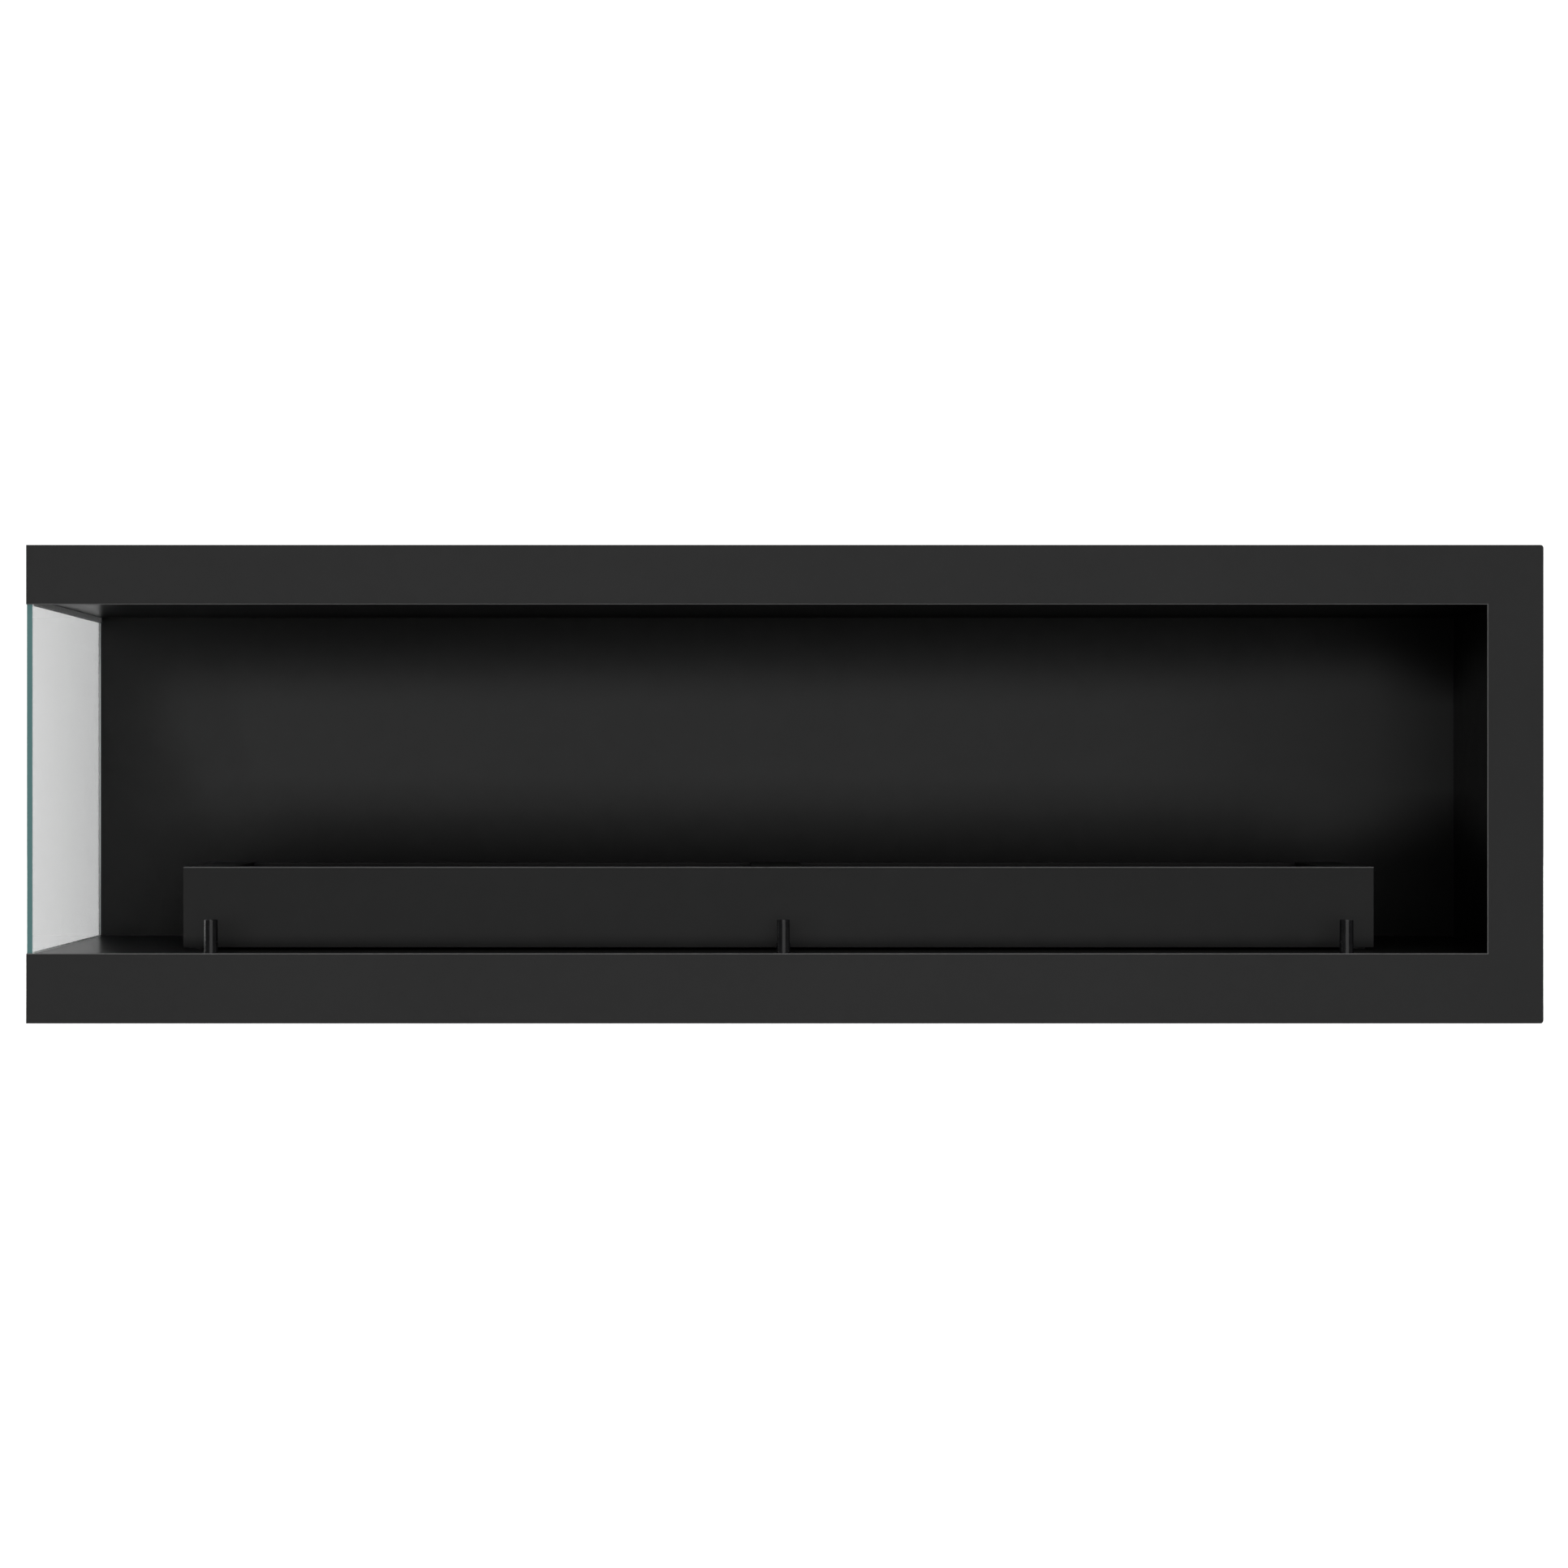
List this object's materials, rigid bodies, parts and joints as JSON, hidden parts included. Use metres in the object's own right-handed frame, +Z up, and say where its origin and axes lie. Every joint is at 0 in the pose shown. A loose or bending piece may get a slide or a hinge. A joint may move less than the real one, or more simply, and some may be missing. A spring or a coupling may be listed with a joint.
{
  "type": "fireplace insert",
  "caption": "Built-in corner fireplace insert: open steel firebox with a glazed left side and a long low housing holding lidded lift-out burners.",
  "frame": {"origin": "middle of the bounding box at the height of the underside that it stands on", "axes": "+X from the glazed left side to the closed right side, +Y from the open front to the rear, +Z up"},
  "size_m": [1.3, 0.3, 0.41],
  "materials": {
    "outer_powder_coat": "matte fine-texture black powder coat",
    "firebox_coat": "matte heat-resistant black coat",
    "grey_primer": "satin pale grey heat-resistant primer",
    "housing_coat": "matte heat-resistant black coat",
    "clear_glass": "clear tempered glass, green in its thickness",
    "clear_silicone": "translucent white sealant",
    "sealing_tape": "matte black",
    "gloss_black": "glossy black",
    "stainless_brushed": "brushed stainless steel",
    "stainless_bright": "bright stainless steel",
    "zinc_plate": "bright zinc plating",
    "galvanised_sheet": "galvanised sheet",
    "ceramic_fibre": "matte white ceramic fibre",
    "insulation_board": "matte pale fibre board"
  },
  "bodies": {
    "insert": {"front_fascia": "outer_powder_coat", "casing_top": "outer_powder_coat", "casing_bottom": "outer_powder_coat", "casing_right_side": "outer_powder_coat", "casing_back": "outer_powder_coat", "end_cap_top": "outer_powder_coat", "end_cap_bottom": "outer_powder_coat", "rear_left_post": "outer_powder_coat", "casing_rivets": "zinc_plate", "mounting_press_nuts": "zinc_plate", "firebox_ceiling": "firebox_coat", "firebox_back_wall": "firebox_coat", "firebox_right_wall": "firebox_coat", "firebox_floor": "firebox_coat", "insulation_top": "insulation_board", "insulation_back": "insulation_board", "side_glass": "clear_glass", "glass_angle_top": "grey_primer", "glass_angle_bottom": "grey_primer", "glass_bedding": "sealing_tape", "glass_beads": "clear_silicone", "burner_housing": "housing_coat", "housing_feet": "sealing_tape", "housing_screws": "zinc_plate", "housing_nuts": "zinc_plate", "glass_holder_left": "gloss_black", "glass_holder_middle": "gloss_black", "glass_holder_right": "gloss_black", "holder_grub_screws": "stainless_bright", "holder_pads": "sealing_tape", "holder_screws": "zinc_plate", "burner_seat_left": "housing_coat", "burner_seat_right": "housing_coat", "floor_rib_left": "galvanised_sheet", "floor_rib_middle": "galvanised_sheet", "floor_rib_right": "galvanised_sheet", "ceiling_rib_left": "galvanised_sheet", "ceiling_rib_middle": "galvanised_sheet", "ceiling_rib_right": "galvanised_sheet", "back_rib_left": "galvanised_sheet", "back_rib_middle": "galvanised_sheet", "back_rib_right": "galvanised_sheet"},
    "burner_left": {"burner_tank_left": "stainless_brushed", "burner_plate_left": "stainless_brushed", "lid_guides_left": "stainless_brushed", "ceramic_block_left": "ceramic_fibre"},
    "lid_left": {"burner_lid_left": "stainless_brushed"},
    "burner_right": {"burner_tank_right": "stainless_brushed", "burner_plate_right": "stainless_brushed", "lid_guides_right": "stainless_brushed", "ceramic_block_right": "ceramic_fibre"},
    "lid_right": {"burner_lid_right": "stainless_brushed"}
  },
  "joints": [
    {"name": "burner_left_lift", "type": "slide", "parent": "insert", "child": "burner_left", "axis": [0, 0, 1], "range_m": [0, 0.12]},
    {"name": "lid_left_slide", "type": "slide", "parent": "burner_left", "child": "lid_left", "axis": [1, 0, 0], "range_m": [0, 0.208]},
    {"name": "burner_right_lift", "type": "slide", "parent": "insert", "child": "burner_right", "axis": [0, 0, 1], "range_m": [0, 0.12]},
    {"name": "lid_right_slide", "type": "slide", "parent": "burner_right", "child": "lid_right", "axis": [1, 0, 0], "range_m": [0, 0.208]}
  ]
}
